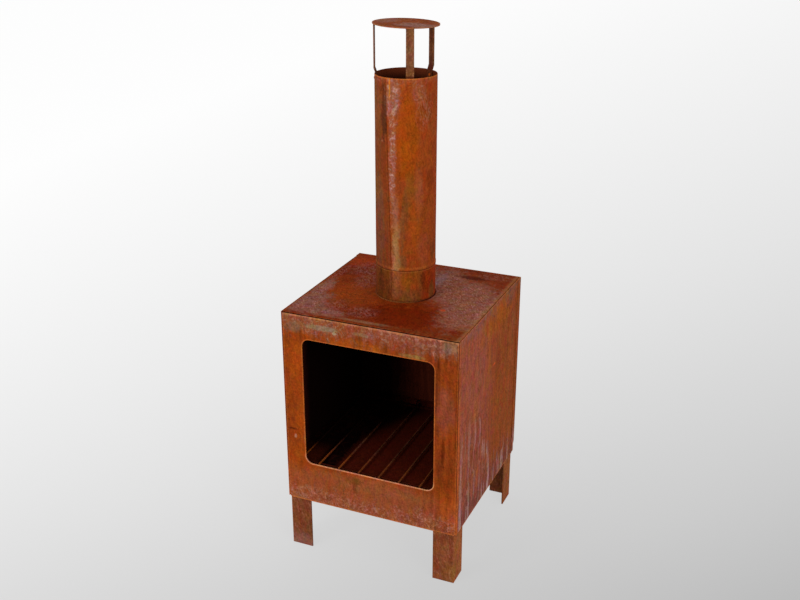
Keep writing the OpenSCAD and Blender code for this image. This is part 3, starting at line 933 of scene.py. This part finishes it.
def make_leg_welds(finish):
    """Two beads under the floor plate on each leg, and one where it meets the panel."""
    shape = bmesh.new()
    leg_t = 3 * MM
    near_end = 8 * MM
    far_end = 40 * MM
    bead_r = 1.7 * MM
    top = FLOOR_LO.z - 0.6 * MM
    for name in ("leg_front_left", "leg_front_right", "leg_back_left", "leg_back_right"):
        low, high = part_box(name)
        sx = 1 if low.x < 0 else -1
        sy = 1 if low.y < 0 else -1
        corner_x = low.x if sx > 0 else high.x
        corner_y = low.y if sy > 0 else high.y
        x = corner_x + sx * (leg_t + 0.4 * MM)
        y = corner_y + sy * (leg_t + 0.4 * MM)
        bead(shape, [(x + sx * near_end, y, top), (x + sx * far_end, y, top)], bead_r)
        bead(shape, [(x, y + sy * near_end, top), (x, y + sy * far_end, top)], bead_r)
        edge_x = corner_x + sx * (high.x - low.x + 0.5 * MM)
        wall_y = corner_y + sy * 0.6 * MM
        foot = SIDE_LO.z + near_end
        bead(shape, [(edge_x, wall_y, foot), (edge_x, wall_y, foot + 34 * MM)], 1.5 * MM)
    add_piece("leg_welds", shape, finish, "root")


def make_floor_welds(finish):
    """Stitches under the floor plate, three along each side and three along the back."""
    shape = bmesh.new()
    middles = (-0.09, 0.0, 0.09)
    half = 14 * MM
    bead_r = 1.6 * MM
    z = FLOOR_LO.z - 0.5 * MM
    for side in (-1, 1):
        x = side * (FLOOR_HI.x - 0.5 * MM)
        for y in middles:
            bead(shape, [(x, y - half, z), (x, y + half, z)], bead_r)
    for x in middles:
        y = FLOOR_HI.y - 0.5 * MM
        bead(shape, [(x - half, y, z), (x + half, y, z)], bead_r)
    add_piece("floor_welds", shape, finish, "root")


def make_grate_welds(finish):
    """A tack on both sides of every crossing."""
    shape = bmesh.new()
    half = 1.6 * MM
    for cross in ("grate_cross_front", "grate_cross_back"):
        c_low, c_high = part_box(cross)
        y = (c_low.y + c_high.y) / 2
        for rod in (n for n in NODES if n.startswith("grate_rod")):
            r_low, r_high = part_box(rod)
            for x in (r_low.x + 0.4 * MM, r_high.x - 0.4 * MM):
                z = r_low.z + 0.3 * MM
                bead(shape, [(x, y - half, z), (x, y + half, z)], 0.9 * MM)
    add_piece("grate_welds", shape, finish, "grate")


make_pipe(pipe_finish())
make_collar(collar_finish())
make_collar_weld(collar_weld_finish())
make_leg_welds(leg_rust)
make_floor_welds(leg_rust)
make_grate_welds(grate_finish("rust_rod_tacks", "40180c", "24100a", "24100a", 88.0))


# ---- camera, light and floor ----

CAMERA_PLACE = Vector((0.84498, -1.98116, 1.44122))
CAMERA_YAW = math.radians(23.40)
CAMERA_PITCH = math.radians(22.4485)
CAMERA_ROLL = math.radians(-0.0618)
CAMERA_LENS = 48.628


def make_camera():
    """The camera: in front, to the right and above, with everything sharp."""
    data = bpy.data.cameras.new("camera")
    data.lens = CAMERA_LENS
    data.sensor_width = 36.0
    data.clip_start = 0.05
    camera = bpy.data.objects.new("camera", data)
    turn = Matrix.Rotation(CAMERA_YAW, 4, "Z") @ Matrix.Rotation(math.pi / 2 - CAMERA_PITCH, 4, "X")
    turn = turn @ Matrix.Rotation(CAMERA_ROLL, 4, "Z")
    camera.matrix_world = Matrix.Translation(CAMERA_PLACE) @ turn
    bpy.context.scene.collection.objects.link(camera)
    bpy.context.scene.camera = camera


def soft_light(name, place, target, size, power):
    """A round lamp of that size in metres and power in watts, turned to its target."""
    data = bpy.data.lights.new(name, "AREA")
    data.shape = "DISK"
    data.size = size
    data.energy = power
    lamp = bpy.data.objects.new(name, data)
    lamp.location = place
    lamp.rotation_euler = (Vector(target) - Vector(place)).to_track_quat("-Z", "Y").to_euler()
    bpy.context.scene.collection.objects.link(lamp)


WALL_LIGHT = 0.84


def make_world():
    """The studio's even, nearly white wall all round."""
    world = bpy.data.worlds.new("studio")
    bpy.context.scene.world = world
    world.use_nodes = True
    back = world.node_tree.nodes["Background"]
    back.inputs[0].default_value = (WALL_LIGHT, WALL_LIGHT, WALL_LIGHT, 1.0)
    back.inputs[1].default_value = 1.0


# the floor is dimmest within this distance of the camera, in metres, and shadows on it are faint
NEAREST = 1.7
GLOW_SHARE = 0.90


def floor_paint():
    """Pale grey, dimmest at the near end, that meets the studio's wall without a line."""
    f = Finish("studio_floor", "floor")
    east = f.x - CAMERA_PLACE.x
    north = f.y - CAMERA_PLACE.y
    away = east * -math.sin(CAMERA_YAW) + north * math.cos(CAMERA_YAW)
    across = east * math.cos(CAMERA_YAW) + north * math.sin(CAMERA_YAW)
    near = 1.0 / away.size().larger(NEAREST)
    light = 1.09 - near * 0.90 - (across * near).larger(-0.6).smaller(0.6) * 0.23
    light = light.larger(0.3).smaller(1.0)
    horizon = (f.x * f.x + f.y * f.y).power(0.5).rise(14.0, 26.0)
    light = light + (WALL_LIGHT - light) * horizon
    grey = f.node("CombineXYZ", {}, {0: light, 1: light, 2: light})
    matt = f.node("BsdfDiffuse", {}, {0: grey})
    glow = f.node("Emission", {}, {0: grey, 1: 1.0})
    both = f.node("MixShader", {}, {0: GLOW_SHARE, 1: matt, 2: glow})
    f.node("OutputMaterial", {}, {0: both}, out=None)
    return f


def make_floor():
    """A floor wide enough for any view."""
    mesh = bpy.data.meshes.new("studio_floor")
    shape = bmesh.new()
    half_width = 30.0
    bmesh.ops.create_grid(shape, x_segments=8, y_segments=8, size=half_width)
    shape.to_mesh(mesh)
    shape.free()
    piece = bpy.data.objects.new("studio_floor", mesh)
    bpy.context.scene.collection.objects.link(piece)
    floor_paint().dress(piece)


make_camera()
make_world()
make_floor()
FIREBOX_MIDDLE = (0.0, 0.0, 0.5)
soft_light("key", (-1.3, -2.6, 1.9), FIREBOX_MIDDLE, 1.2, 36.0)
soft_light("fill", (2.6, -1.9, 1.5), FIREBOX_MIDDLE, 1.4, 32.0)
bpy.context.scene.view_settings.view_transform = "Standard"
